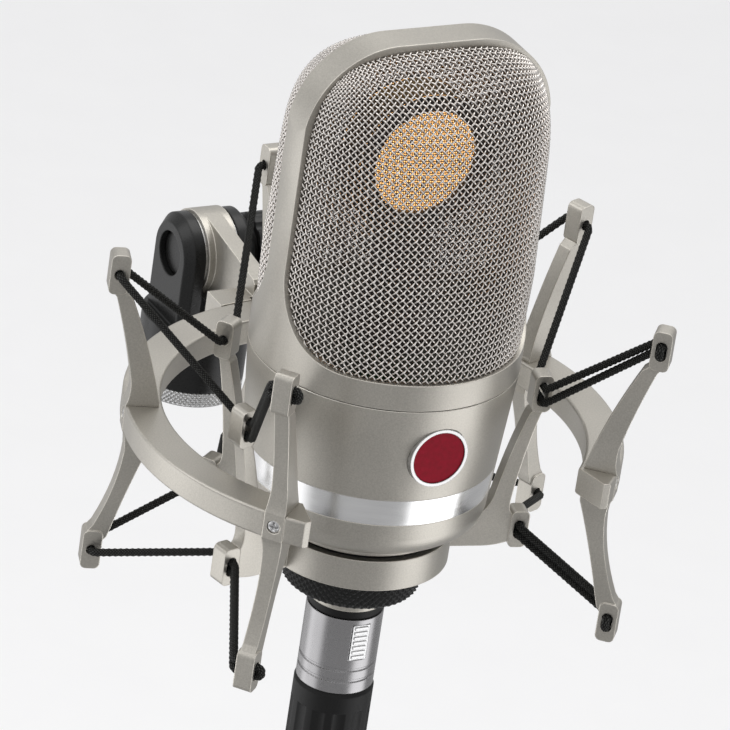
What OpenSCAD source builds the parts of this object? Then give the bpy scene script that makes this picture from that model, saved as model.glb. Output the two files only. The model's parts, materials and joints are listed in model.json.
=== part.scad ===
// Large-diaphragm condenser microphone in an elastic suspension, with the suspension's
// stand swivel and the cable plug. Millimetres.
// Origin: centre of the stand socket's mouth. +Z is up the stand; the front faces -Y.
// The microphone and its cage are drawn in the microphone's own frame, whose origin is
// on the microphone's axis at the seam between head and body; angle 0 is the front.

/* [Microphone] */
// Diameter of the head collar
mic_d = 64; // [63:0.5:65]
// Height of the head above the seam
head_h = 80; // [78:1:82]
// Height of the body below the seam
body_h = 42; // [41:0.5:43]
// Half depth of the band that frames the grilles
band_half = 4.2; // [3.8:0.1:5]
// Height of the head's collar
collar_h = 6.5; // [6:0.5:8]
// Corner radius of the head, seen from the front
corner_r = 22; // [20:1:24]

/* [Capsule] */
// Height of the capsule's axis above the seam
capsule_z = 50.5; // [48:0.5:52]
// Visible diameter of a diaphragm
diaphragm_d = 26; // [24:1:28]
// Outer diameter of the capsule
capsule_d = 33; // [32:0.5:34]

/* [Suspension] */
// Outer diameter of the cage ring
ring_od = 118.2; // [117:0.2:120]
// Radial width of the cage ring
ring_w = 9; // [8:0.5:10]
// Height of the cage ring
ring_h = 6.6; // [6:0.2:7]
// Thickness of the cage arms
arm_t = 3.6; // [3.4:0.1:4]
// Diameter of the elastic cord
cord_d = 2; // [1.6:0.1:2.2]

/* [Swivel] */
// Distance from the stand's axis to the microphone's axis
stand_offset = 91; // [90:1:96]
// Height of the head seam above the stand socket's mouth
seam_height = 58; // [57:0.5:60]
// Height of the pivot above the stand socket's mouth
pivot_height = 37; // [37:0.5:38]

/* [Plug] */
// Diameter of the plug's shell
plug_d = 18.6; // [18.4:0.1:18.8]
// Length of the rubber boot behind the shell
boot_l = 29.1; // [26:0.1:34]
// Diameter of the cable that the boot takes
cable_d = 6.8; // [6:0.2:7]

/* [Hidden] */
$fn = 96;

// General clearances: parts that touch, and parts that run on each other
gap = 0.05;
run = 0.06;
tiny = 0.01;

// Head
mic_r = mic_d / 2;
corner_x = mic_r - corner_r;
corner_z = head_h - corner_r;
band_t = 2.4;
ledge_h = 2.5;
ledge_r = 27;
// Fillet between the band and the collar, seen from the side
fillet_r = 19;
fillet_y = band_half + fillet_r;
fillet_z = collar_h + fillet_r;

// Grille surface: half width, half depth, lean of the depth, and the rounded top
grille_x = mic_r - 1;
grille_b = mic_r - 0.6;
grille_lean = 0.115;
lobe_z = head_h - 34;
lobe_h = 33;
lobe_p = 3.5;
grille_t = 1.1;
screen_inset = 1.6;
screen_t = 0.4;

// Capsule
capsule_r = capsule_d / 2;
capsule_half = 4.6;
membrane_t = 0.1;
clamp_ring_t = 1.2;
capsule_screw_n = 8;
capsule_screw_r = 14.8;
saddle_wall = 2.4;
saddle_foot = ledge_h + 3.6;
saddle_foot_t = 3;
lead_hole_r = 4.2;

// Body
seam_gap = 0.25;
wall = 2.2;
body_taper = 0.08;
toe_r = 7;
toe_z = toe_r - body_h;
band_top = -24.65;
band_bottom = -31.45;
band_depth = 1;
badge_r = 7.4;
badge_z = -12.8;
badge_floor = 29.7;
button_r = 3.5;
neck_r = 9.8;
neck_bottom = -61.8;
tip_r = 9.3;
tip_bottom = -66.4;
socket_r = 8.1;
flange_r = 21.4;
flange_t = 2.15;
pin_r = 1.2;
pin_circle = 3.5;
board_y = 12;
board_t = 1.6;
rail_bottom = -36.5;

// Suspension
ring_r = ring_od / 2;
ring_mid = -21.4;
ring_top = ring_mid + ring_h / 2;
ring_bottom = ring_mid - ring_h / 2;
front_arm = 49.5;
side_arm = 109;
arm_angles = [-front_arm, front_arm, -side_arm, side_arm, 180];
// Each cage arm sits in a notch across the ring's outside, and is thickest there
notch = 2.4;
foot_t = 5;
strip_r = ring_r;
cord_r = cord_d / 2;
// Half the distance between the two cords in a hole, and the same at the cradle's upper holes
strand = cord_r + 0.15;
wide_strand = cord_r + 0.9;
slot_r = cord_r + 0.3;
tip_t = 4.4;
tip_w = 4.6;
// Cord holes, as radius and height: cage top and bottom, cradle top and bottom
cage_top = [64.2, 15.5];
cage_low = [62.5, -57];
cradle_top = [40, -12];
cradle_low = [39.5, -48.5];
cradle_front = 78;
cradle_rear = 144;
cup_r = 22.3;
cup_top = -45.2;
cup_bottom = -53;
cup_hole = 10.2;
nut_r = 16.6;
nut_top = -53.55;
washer_t = 0.45;

// Swivel. pivot_z is the pivot's height in the microphone's frame
pivot_z = pivot_height - seam_height;
tongue_r = 10.5;
cheek_r = 10;
tongue_t = 8;
washer_gap = 0.7;
cheek_in = tongue_t / 2 + washer_gap;
cheek_t = 5;
cheek_out = cheek_in + cheek_t;
yoke_r = 13.5;
adapter_flange = 4;
yoke_base_top = 20;
bolt_r = 3;
recess_r = 5.6;
recess_depth = 3.4;
cheek_chamfer = 2.2;
large_thread_r = 7.94;
small_thread_r = 4.76;
flange_face = 65.5;

// Plug
plug_r = plug_d / 2;
shell_top = -68.75;
shell_bottom = -88.9;
nose_top = -51.6;
boot_top = shell_bottom - gap;
boot_bottom = boot_top - boot_l;
cable_r = cable_d / 2;

metal = [0.74, 0.72, 0.68];
black = [0.1, 0.1, 0.1];
steel = [0.78, 0.78, 0.78];

// ---- Placing and extruding -------------------------------------------------------------

module in_mic_frame() translate([0, -stand_offset, seam_height]) children();

// Turns a shape drawn at the front round the microphone's axis
module at_angle(a) rotate([0, 0, a]) children();

// A radial plate at the front: 2D x is the radius, 2D y is the height
module fin(t) rotate([90, 0, -90]) linear_extrude(t, center = true) children();

// 2D (x, z) drawn through the depth, and 2D (y, z) drawn across the width
module through_y(t) rotate([90, 0, 0]) linear_extrude(t, center = true) children();
module through_x(t) rotate([90, 0, 90]) linear_extrude(t, center = true) children();

// A round bar at the front, along the radius, from radius r1 to r2 at height z
module radial_bar(r, r1, r2, z) translate([0, -r1, z]) rotate([90, 0, 0]) cylinder(r = r, h = r2 - r1);

// A ring with its lowest face at z
module ring(r_out, r_in, z, h) {
    translate([0, 0, z]) difference() {
        cylinder(r = r_out, h = h);
        translate([0, 0, -1]) cylinder(r = r_in, h = h + 2);
    }
}

// ---- Head ------------------------------------------------------------------------------

// The head seen from the front, drawn in by inset
module head_outline(inset) {
    for (side = [-1, 1]) translate([side * corner_x, corner_z]) circle(r = corner_r - inset);
    translate([-corner_x, 0]) square([2 * corner_x, head_h - inset]);
    translate([inset - mic_r, 0]) square([2 * (mic_r - inset), corner_z]);
}

module head_block(inset) {
    intersection() {
        through_y(2 * mic_d) head_outline(inset);
        cylinder(r = mic_r - inset, h = head_h);
    }
}

// The front opening that a grille fills, seen from the side
module grille_opening() {
    through_x(2 * mic_d) {
        translate([-fillet_y, fillet_z]) circle(r = fillet_r);
        translate([-mic_d, collar_h]) square([mic_d - fillet_y, head_h]);
        translate([-mic_d, fillet_z]) square([mic_d - band_half, head_h]);
    }
}

module head_frame() {
    color(metal) in_mic_frame() difference() {
        head_block(0);
        intersection() {
            head_block(band_t);
            translate([-mic_r, -mic_r, ledge_h]) cube([mic_d, mic_d, head_h]);
        }
        translate([0, 0, -1]) cylinder(r = ledge_r, h = ledge_h + 2);
        for (a = [0, 180]) at_angle(a) grille_opening();
        deck_screw_places() translate([0, 0, -1]) cylinder(r = 0.8, h = ledge_h + 2, $fn = 24);
    }
}

// Depth of the grille surface at height z on the microphone's axis
function grille_depth(z, inset) = grille_b - inset - grille_lean * (z - collar_h);

// Exponent of the grille's cross-section: a circle at the collar, squarer above it
function grille_n(z) = 2 + 0.3 * min(1, (z - collar_h) / 18);

// How far a point is from the middle of the grille towards its outline, 0 to 1
function grille_rho(x, z, inset) =
    let (side = abs(x) / (grille_x - inset))
    z <= lobe_z ? side
    : pow(pow(side, lobe_p) + pow((z - lobe_z) / (lobe_h - inset), lobe_p), 1 / lobe_p);

function grille_y(x, z, inset) =
    let (n = grille_n(z), rho = min(1, grille_rho(x, z, inset)))
    grille_depth(z, inset) * pow(1 - pow(rho, n), 1 / n);

// Outline position at which the grille meets the band
function edge_rho(z, inset) =
    let (n = grille_n(z)) pow(1 - pow((band_half + gap) / grille_depth(z, inset), n), 1 / n);

// Sideways position of column u, from -1 to 1
function grille_col(u, z, inset) = (grille_x - inset) * edge_rho(z, inset) * sin(90 * u);

// Lowest and highest points of a column, each closed in on by a few repeats
function rim_z(y) =
    y > fillet_y ? collar_h + gap : fillet_z - sqrt(pow(fillet_r - gap, 2) - pow(fillet_y - y, 2));
function above_rim(y) = max(collar_h + gap, rim_z(max(band_half + gap, y)));
function low_z(u, inset, z, k) =
    k == 0 ? z
    : low_z(u, inset, above_rim(grille_y(grille_col(u, z, inset), z, inset)), k - 1);
function lobe_rise(u, e, inset) =
    (lobe_h - inset) * pow(max(0, pow(e, lobe_p) - pow(e * abs(sin(90 * u)), lobe_p)), 1 / lobe_p);
function high_z(u, inset, z, k) =
    k == 0 ? z
    : high_z(u, inset, lobe_z + lobe_rise(u, edge_rho(z, inset), inset), k - 1);

function grille_point(u, v, inset) =
    let (z1 = low_z(u, inset, collar_h + 8, 8))
    let (z2 = high_z(u, inset, head_h - 4, 6))
    let (z = z1 + (z2 - z1) * sin(90 * v))
    let (x = grille_col(u, min(z, lobe_z), inset))
    [x, -max(band_half + gap, grille_y(x, z, inset)), z];

// A domed sheet between two insets of the grille surface, as cols by rows cells
module grille_sheet(outer, inner, cols, rows) {
    across = cols + 1;
    layer = across * (rows + 1);
    points = [
        for (inset = [outer, inner], j = [0 : rows], i = [0 : cols])
            grille_point(2 * i / cols - 1, j / rows, inset)
    ];
    front = [
        for (j = [0 : rows - 1], i = [0 : cols - 1])
            let (a = j * across + i) each [[a, a + across + 1, a + across], [a, a + 1, a + across + 1]]
    ];
    back = [for (t = front) [t[0] + layer, t[2] + layer, t[1] + layer]];
    rim = concat(
        [for (i = [0 : cols - 1]) i],
        [for (j = [0 : rows - 1]) j * across + cols],
        [for (i = [cols : -1 : 1]) rows * across + i],
        [for (j = [rows : -1 : 1]) j * across]
    );
    edge = [
        for (k = [0 : len(rim) - 1])
            let (a = rim[k], b = rim[(k + 1) % len(rim)]) each [[a, b + layer, b], [a, a + layer, b + layer]]
    ];
    polyhedron(points, concat(front, back, edge));
}

module front_grille() color(steel) in_mic_frame() grille_sheet(0, grille_t, 28, 28);

module rear_grille() color(steel) in_mic_frame() at_angle(180) grille_sheet(0, grille_t, 28, 28);

module screen() grille_sheet(screen_inset, screen_inset + screen_t, 20, 20);

module front_screen() color([0.3, 0.29, 0.28]) in_mic_frame() screen();

module rear_screen() color([0.3, 0.29, 0.28]) in_mic_frame() at_angle(180) screen();

// ---- Capsule ---------------------------------------------------------------------------

module at_capsule() in_mic_frame() translate([0, 0, capsule_z]) children();

// A disc on the capsule's axis, from depth y1 to y2
module capsule_disc(r, y1, y2) translate([0, y2, 0]) rotate([90, 0, 0]) cylinder(r = r, h = y2 - y1);

module capsule_screw_places() {
    for (i = [0 : capsule_screw_n - 1])
        rotate([0, 360 * (i + 0.5) / capsule_screw_n, 0]) translate([capsule_screw_r, 0, 0]) children();
}

module capsule_body() {
    color([0.72, 0.58, 0.3]) at_capsule() difference() {
        capsule_disc(capsule_r, -capsule_half, capsule_half);
        capsule_screw_places() capsule_disc(0.5, -capsule_half - 1, capsule_half + 1, $fn = 20);
    }
}

module diaphragm() {
    difference() {
        capsule_disc(capsule_r, -capsule_half - membrane_t, -capsule_half);
        capsule_screw_places() capsule_disc(0.5, -capsule_half - 1, 0, $fn = 20);
    }
}

module front_diaphragm() color([0.9, 0.68, 0.28]) at_capsule() diaphragm();

module rear_diaphragm() color([0.9, 0.68, 0.28]) at_capsule() at_angle(180) diaphragm();

module clamp_ring() {
    face = -capsule_half - membrane_t;
    difference() {
        capsule_disc(capsule_r, face - clamp_ring_t, face);
        capsule_disc(diaphragm_d / 2, face - clamp_ring_t - 1, face + 1);
        capsule_screw_places() capsule_disc(0.5, face - clamp_ring_t - 1, 0, $fn = 20);
    }
}

module front_clamp_ring() color(black) at_capsule() clamp_ring();

module rear_clamp_ring() color(black) at_capsule() at_angle(180) clamp_ring();

module capsule_screws() {
    head = -capsule_half - membrane_t - clamp_ring_t;
    color(steel) at_capsule() for (a = [0, 180]) at_angle(a) capsule_screw_places() {
        capsule_disc(0.9, head - 0.6, head, $fn = 24);
        capsule_disc(0.45, head - tiny, -2, $fn = 24);
    }
}

module saddle_screw_places() for (a = [30, 150, 270]) at_angle(a) translate([0, -9.3, 0]) children();

module capsule_saddle() {
    foot = saddle_foot;
    color(black) in_mic_frame() difference() {
        union() {
            translate([0, 0, foot]) cylinder(r = 12.5, h = saddle_foot_t);
            translate([0, 0, foot]) cylinder(r = 6.5, h = capsule_z - capsule_r - foot);
            translate([0, 0, capsule_z]) intersection() {
                capsule_disc(capsule_r + saddle_wall, -4, 4);
                translate([-mic_r, -5, -capsule_d]) cube([mic_d, 10, capsule_d + 2]);
            }
        }
        translate([0, 0, capsule_z]) capsule_disc(capsule_r + gap, -7, 7);
        translate([0, 0, foot - 1]) cylinder(r = lead_hole_r, h = capsule_z);
        saddle_screw_places() translate([0, 0, foot - 1]) cylinder(r = 1.05, h = 6, $fn = 24);
    }
}

module saddle_rubber() {
    color([0.15, 0.15, 0.15]) in_mic_frame() difference() {
        ring(12.5, lead_hole_r, ledge_h + 2.05 + gap, 1.4);
        saddle_screw_places() translate([0, 0, 1]) cylinder(r = 1.05, h = 9, $fn = 24);
    }
}

module saddle_screws() {
    seat = saddle_foot + saddle_foot_t + tiny;
    color(steel) in_mic_frame() saddle_screw_places() {
        translate([0, 0, seat]) cylinder(r = 1.9, h = 1.2, $fn = 32);
        translate([0, 0, 3]) cylinder(r = 1, h = seat - 2.9, $fn = 24);
    }
}

module capsule_leads() {
    color([0.7, 0.15, 0.12]) in_mic_frame() for (a = [0, 120, 240])
        at_angle(a) translate([0, -2.4, -2.5]) cylinder(r = 0.5, h = capsule_z - capsule_r + 2.2, $fn = 20);
}

module deck_screw_places() for (a = [45 : 90 : 315]) at_angle(a) translate([0, -28.2, 0]) children();

module deck_plate() {
    color([0.2, 0.22, 0.2]) in_mic_frame() difference() {
        translate([0, 0, ledge_h + gap]) cylinder(r = mic_r - band_t - 2 * gap, h = 2);
        translate([0, 0, -1]) cylinder(r = lead_hole_r, h = 9);
        deck_screw_places() translate([0, 0, -1]) cylinder(r = 0.9, h = 9, $fn = 24);
        saddle_screw_places() translate([0, 0, -1]) cylinder(r = 1.05, h = 9, $fn = 24);
        for (side = [-1, 1]) rail_place(side) translate([0, 0, -1]) cylinder(r = 1.05, h = 9, $fn = 24);
    }
}

module deck_screws() {
    color(steel) in_mic_frame() {
        deck_screw_places() {
            translate([0, 0, ledge_h + 2 + 2 * gap]) cylinder(r = 1.1, h = 0.8, $fn = 24);
            translate([0, 0, 0.3]) cylinder(r = 0.75, h = ledge_h + 2, $fn = 24);
        }
        for (side = [-1, 1]) rail_place(side) {
            translate([0, 0, ledge_h + 2 + 2 * gap]) cylinder(r = 1.9, h = 1.2, $fn = 32);
            translate([0, 0, -3]) cylinder(r = 1, h = ledge_h + 5.3, $fn = 24);
        }
    }
}

// ---- Body ------------------------------------------------------------------------------

function body_r(z) = mic_r + body_taper * z;

// Points along an arc, from angle a0 to a1 in n steps
function arc(c, r, a0, a1, n) =
    [for (i = [0 : n]) let (a = a0 + (a1 - a0) * i / n) c + r * [cos(a), sin(a)]];

// Solid of the body from just under the seam down to the rounded bottom edge
module body_solid(inset) {
    rotate_extrude() polygon(concat(
        [[0, -seam_gap], [mic_r - inset, -seam_gap]],
        arc([body_r(toe_z) - toe_r, toe_z], toe_r - inset, 0, -90, 16),
        [[0, inset - body_h]]
    ));
}

module body_shell() {
    color(metal) in_mic_frame() difference() {
        body_solid(0);
        intersection() {
            body_solid(wall);
            translate([0, 0, wall - body_h]) cylinder(r = mic_r, h = body_h);
        }
        ring(mic_r, body_r(band_bottom) - band_depth, band_bottom, band_top - band_bottom);
        translate([0, 0, -body_h - 1]) cylinder(r = neck_r + 2.2 + gap, h = 6);
        radial_bar(badge_r + gap, badge_floor, mic_r + 1, badge_z);
        at_angle(180) {
            radial_bar(6.05, badge_floor, mic_r + 1, badge_z);
            radial_bar(button_r + 0.2, 20, mic_r, badge_z);
        }
        base_screw_places() translate([0, 0, -body_h - 1]) cylinder(r = 1, h = 6, $fn = 24);
    }
}

module chrome_band() {
    color([0.85, 0.85, 0.87]) in_mic_frame() difference() {
        translate([0, 0, band_bottom + gap])
            cylinder(r1 = body_r(band_bottom), r2 = body_r(band_top), h = band_top - band_bottom - 2 * gap);
        translate([0, 0, band_bottom - 1]) cylinder(r = body_r(band_bottom) - band_depth + gap, h = 10);
    }
}

module badge_rim() {
    color(steel) in_mic_frame() difference() {
        radial_bar(badge_r, badge_floor, badge_floor + 2, badge_z);
        radial_bar(badge_r - 0.8, badge_floor - 1, badge_floor + 3, badge_z);
    }
}

module badge_enamel() {
    color([0.55, 0.03, 0.08]) in_mic_frame()
        radial_bar(badge_r - 0.8 - gap, badge_floor, badge_floor + 1.7, badge_z);
}

module button_bezel() {
    color(steel) in_mic_frame() at_angle(180) difference() {
        radial_bar(6, badge_floor, badge_floor + 1.9, badge_z);
        radial_bar(button_r + run, badge_floor - 1, badge_floor + 3, badge_z);
    }
}

module pattern_button() {
    color(black) in_mic_frame() at_angle(180) {
        radial_bar(button_r, 26.9, badge_floor + 2.6, badge_z);
        radial_bar(1.2, 19.2, 27, badge_z, $fn = 32);
    }
}

module pattern_switch() {
    color([0.25, 0.25, 0.25]) in_mic_frame() at_angle(180) {
        translate([-3, -17.6, badge_z - 3]) cube([6, 17.6 - board_y - board_t - gap, 6]);
        radial_bar(1.6, 17.5, 18.5, badge_z, $fn = 32);
    }
}

module amplifier_board() {
    color([0.05, 0.3, 0.14]) in_mic_frame() difference() {
        translate([-18, board_y, -36]) cube([36, board_t, 32]);
        capsule_lead_clearance();
    }
}

// Room for the leads that come down from the capsule
module capsule_lead_clearance() translate([0, 0, -6]) cylinder(r = lead_hole_r, h = 20);

// Film capacitors, electrolytic capacitors and transistors on the board's front face
module board_components() {
    face = board_y - gap;
    color([0.55, 0.4, 0.12]) in_mic_frame() {
        for (x = [-12, 0, 12]) translate([x - 4, face - 7, -34]) cube([8, 7, 11]);
        for (x = [-13, 13]) translate([x, face, -13]) rotate([90, 0, 0]) cylinder(r = 3.2, h = 8, $fn = 40);
        for (x = [-5, 0, 5]) translate([x - 1.8, face - 4, -18]) cube([3.6, 4, 4.5]);
    }
}

module rail_place(side) translate([side * 19.4, 13, 0]) children();

module chassis_rails() {
    color([0.6, 0.6, 0.62]) in_mic_frame() for (side = [-1, 1]) difference() {
        rail_place(side) translate([-1.3, -3, rail_bottom]) cube([2.6, 6, ledge_h - rail_bottom]);
        rail_place(side) translate([0, 0, -4]) cylinder(r = 1.05, h = 9, $fn = 24);
    }
}

module base_screw_places() for (a = [60 : 120 : 300]) at_angle(a) translate([0, -17, 0]) children();

// Flange under the body, with the threaded neck and the socket shell below it
module base_plate() {
    flange_top = -body_h - gap;
    color(metal) in_mic_frame() difference() {
        union() {
            translate([0, 0, flange_top - flange_t]) cylinder(r = flange_r, h = flange_t);
            translate([0, 0, flange_top - 1]) cylinder(r = neck_r + 2.2, h = 4);
            translate([0, 0, neck_bottom]) cylinder(r = neck_r, h = flange_top - neck_bottom);
            translate([0, 0, tip_bottom]) cylinder(r = tip_r, h = 5);
        }
        translate([0, 0, tip_bottom - 1]) cylinder(r = socket_r, h = 19.4);
        translate([0, 0, -48.1]) cylinder(r = 8.6, h = 20);
        base_screw_places() {
            translate([0, 0, flange_top - 9]) cylinder(r = 1.1, h = 20, $fn = 24);
            translate([0, 0, flange_top - flange_t - 1]) cylinder(r = 2.05, h = 2.2, $fn = 32);
        }
    }
}

module base_screws() {
    low = -body_h - gap - flange_t + 0.1;
    color(steel) in_mic_frame() base_screw_places() {
        translate([0, 0, low]) cylinder(r = 2, h = 1.05, $fn = 32);
        translate([0, 0, low + 1]) cylinder(r = 0.95, h = 3, $fn = 24);
    }
}

module pin_places() for (a = [90, 210, 330]) at_angle(a) translate([0, -pin_circle, 0]) children();

module xlr_insert() {
    color(black) in_mic_frame() difference() {
        translate([0, 0, -48.05]) cylinder(r = 8.55, h = 4);
        pin_places() translate([0, 0, -50]) cylinder(r = pin_r + tiny, h = 9, $fn = 32);
    }
}

module xlr_pins() {
    color([0.85, 0.7, 0.35]) in_mic_frame() pin_places()
        translate([0, 0, -60]) cylinder(r = pin_r, h = 18, $fn = 32);
}

// ---- Suspension ------------------------------------------------------------------------

// Section of the cage ring, with rounded corners
// Points of a curve from a to c that is drawn towards b
function bend(a, b, c) =
    [for (i = [0 : 8]) let (t = i / 8) (1 - t) * (1 - t) * a + 2 * t * (1 - t) * b + t * t * c];

// A rectangle with rounded corners, centred
module rounded(w, h, r) {
    square([w - 2 * r, h], center = true);
    square([w, h - 2 * r], center = true);
    for (x = [-1, 1], z = [-1, 1]) translate([x * (w / 2 - r), z * (h / 2 - r)]) circle(r = r, $fn = 32);
}

// The opening at the front, cut so that each end of the ring is a wedge with its corner off
module ring_opening() {
    corner = ring_r - 1.3;
    half = [[ring_r - ring_w - 2, 47.7], [corner, 41.3], [ring_r + 3, 44.6], [2 * ring_r, 44.6]];
    polygon(concat(
        [[0, 0]],
        [for (p = half) p[0] * [-sin(p[1]), -cos(p[1])]],
        [for (i = [3 : -1 : 0]) half[i][0] * [sin(half[i][1]), -cos(half[i][1])]]
    ));
}

module outer_ring() {
    color(metal) in_mic_frame() difference() {
        rotate_extrude($fn = 180) translate([ring_r - ring_w / 2, ring_mid]) rounded(ring_w, ring_h, 0.6);
        translate([0, 0, ring_bottom - 1]) linear_extrude(ring_h + 2) ring_opening();
        for (a = arm_angles) at_angle(a) {
            translate([-foot_t / 2 - gap, -ring_r - 2, ring_bottom - 1])
                cube([foot_t + 2 * gap, notch + 2, ring_h + 2]);
            radial_bar(1.03, ring_r - 6, ring_r + 1, ring_mid, $fn = 32);
        }
        bracket_screw_places() radial_bar(1.33, ring_r - 6, ring_r + 1, ring_mid, $fn = 32);
    }
}

// A hole for one or two cords, through a tip, with its centre at radius and height p
module cord_slot(p, half) {
    translate(p) {
        for (s = [-1, 1]) translate([0, s * half]) circle(r = slot_r, $fn = 40);
        if (half > 0) square([2 * slot_r, 2 * half], center = true);
    }
}

// A tip block of height h round the cord hole at p
module tip_block(p, h) fin(tip_t) translate(p) rounded(tip_w, h, 1.4);

// A cage arm's outline seen along the ring
module arm_side() {
    polygon(concat(
        [[65.2, 13], [65.2, 11]],
        bend([64.2, 9.6], [60.4, -2], [58.4, -12]),
        bend([58.3, -13.5], [58.3, ring_top + 1.5], [strip_r, ring_top]),
        bend([strip_r, ring_bottom], [58.2, ring_bottom - 1.5], [58, ring_bottom - 4]),
        bend([57.9, -30], [58.3, -40], [62.9, -50.6]),
        [[64.2, -52.4], [64.2, -55], [60.6, -55], [59.4, -53.6]],
        bend([58.9, -52], [56.2, -41], [51.4, ring_bottom - 2]),
        bend([51.2, ring_top + 1], [54.4, -4], [60.6, 9.6]),
        [[62.2, 11], [62.2, 13]]
    ));
}

// The same arm's outline seen from outside
module arm_front() {
    half = concat(
        [[arm_t / 2, 14]],
        bend([arm_t / 2, -4], [arm_t / 2, -12], [foot_t / 2, ring_top + 0.5]),
        bend([foot_t / 2, ring_bottom - 0.5], [arm_t / 2, -32], [arm_t / 2, -42]),
        [[arm_t / 2, -56]]
    );
    polygon(concat(half, [for (i = [len(half) - 1 : -1 : 0]) [-half[i][0], half[i][1]]]));
}

// A cage arm, with holes for cords that lie at +half and -half from their middle
module cage_arm(half) {
    difference() {
        union() {
            intersection() {
                fin(foot_t + 1) arm_side();
                translate([0, -58, 0]) through_y(20) arm_front();
            }
            tip_block(cage_top, 10);
            tip_block(cage_low, 10);
        }
        fin(3 * arm_t) {
            translate([ring_r - ring_w - 5, ring_bottom - gap])
                square([ring_w + 5 - notch + gap, ring_h + 2 * gap]);
            cord_slot(cage_top, half);
            cord_slot(cage_low, half);
        }
        radial_bar(1.1, ring_r - notch - 1, strip_r + 1, ring_mid, $fn = 32);
        radial_bar(1.65, strip_r - 1.1, strip_r + 1, ring_mid, $fn = 40);
    }
}

module cage_arm_front_left() color(metal) in_mic_frame() at_angle(-front_arm) cage_arm(strand);

module cage_arm_front_right() color(metal) in_mic_frame() at_angle(front_arm) cage_arm(strand);

module cage_arm_side_left() color(metal) in_mic_frame() at_angle(-side_arm) cage_arm(0);

module cage_arm_side_right() color(metal) in_mic_frame() at_angle(side_arm) cage_arm(0);

module cage_arm_rear() color(metal) in_mic_frame() at_angle(180) cage_arm(0);

module cage_arm_screws() {
    color(steel) in_mic_frame() for (a = arm_angles) at_angle(a) {
        radial_bar(1.6, strip_r - 1.05, strip_r - 0.1, ring_mid, $fn = 40);
        radial_bar(1, ring_r - 5, strip_r - 1, ring_mid, $fn = 32);
    }
}

// A cradle arm, with holes for cords that lie at +half and -half from their middle
module cradle_arm(upper_half, lower_half) {
    difference() {
        union() {
            fin(arm_t) polygon(concat(
                [[41.2, -14], [41.2, -16.2]],
                bend([40.4, -17.5], [37.4, -30], [36.4, -41]),
                bend([36.4, -42], [36.5, -44.8], [38.5, -45.4]),
                [[40.6, -46], [40.6, -50.5]],
                bend([38, -51.5], [35, cup_bottom], [30, cup_bottom]),
                [[cup_r - 2, cup_bottom], [cup_r - 2, cup_top]],
                bend([26.5, cup_top], [31, -44.5], [32.2, -39]),
                bend([32.6, -37], [34.8, -26], [37.6, -17.5]),
                [[38.6, -16.2], [38.6, -14]]
            ));
            tip_block(cradle_top, 9.6);
            tip_block(cradle_low, 9.6);
        }
        fin(3 * arm_t) {
            cord_slot(cradle_top, upper_half);
            cord_slot(cradle_low, lower_half);
        }
    }
}

// Cup and four arms, one casting
module cradle() {
    color(metal) in_mic_frame() {
        ring(cup_r, cup_hole, cup_bottom, cup_top - cup_bottom);
        for (a = [-cradle_front, cradle_front]) at_angle(a) cradle_arm(wide_strand, strand);
        for (a = [-cradle_rear, cradle_rear]) at_angle(a) cradle_arm(0, 0);
    }
}

module cradle_pad() color(black) in_mic_frame() ring(20.5, cup_hole, cup_top + gap, 0.85);

module clamp_washer() {
    color(black) in_mic_frame() ring(15, cup_hole, cup_bottom - gap - washer_t, washer_t);
}

module clamp_nut() {
    chamfer = 0.8;
    color([0.16, 0.16, 0.16]) in_mic_frame() rotate_extrude() polygon([
        [neck_r + run, nut_top], [nut_r - chamfer, nut_top], [nut_r, nut_top - chamfer],
        [nut_r, neck_bottom + chamfer], [nut_r - chamfer, neck_bottom], [neck_r + run, neck_bottom]
    ]);
}

// A point beside the hole p of the arm at angle a, off its face by off, raised by dz
function beside(a, p, off, dz) =
    [p[0] * sin(a) + off * cos(a), off * sin(a) - p[0] * cos(a), p[1] + dz];

// One side of a cord's path, from the rear arm's hole forward to its free end. Its two runs
// in the front cradle arm lie at +wide and -wide
function cord_path(cage, cradle, side, wide) =
    let (off = side * (tip_t / 2 + cord_r + 0.3))
    let (c1 = side * cradle_rear, c2 = side * side_arm, c3 = side * cradle_front, c4 = side * front_arm)
    [
        beside(180 * side, cage, -off, 0),
        beside(c1, cradle, off, 0), beside(c1, cradle, -off, 0),
        beside(c2, cage, off, 0), beside(c2, cage, -off, 0),
        beside(c3, cradle, off, wide), beside(c3, cradle, -off, wide),
        beside(c4, cage, off, strand), beside(c4, cage, -off, strand),
        beside(c4, cage, -off, -strand), beside(c4, cage, off, -strand),
        beside(c3, cradle, -off, -wide), beside(c3, cradle, off, -wide)
    ];

function unit(v) = v / norm(v);

// Cuts each corner of a path a little, so that the cord bends in two steps
function ease(path, cut) = [
    for (i = [0 : len(path) - 1])
        if (i == 0 || i == len(path) - 1) path[i]
        else each [
            path[i] + cut * unit(path[i - 1] - path[i]),
            path[i] + cut * unit(path[i + 1] - path[i])
        ]
];

// Rings of points along a path: each ring is the last one slid along the run on to the next mitre
function sweep(path, loop, i) =
    i == len(path) ? []
    : let (d = unit(path[i] - path[i - 1]))
      let (n = i == len(path) - 1 ? d : unit(d + unit(path[i + 1] - path[i])))
      let (next = [for (p = loop) p + d * ((path[i] - p) * n) / (d * n)])
      concat(next, sweep(path, next, i + 1));

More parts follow.
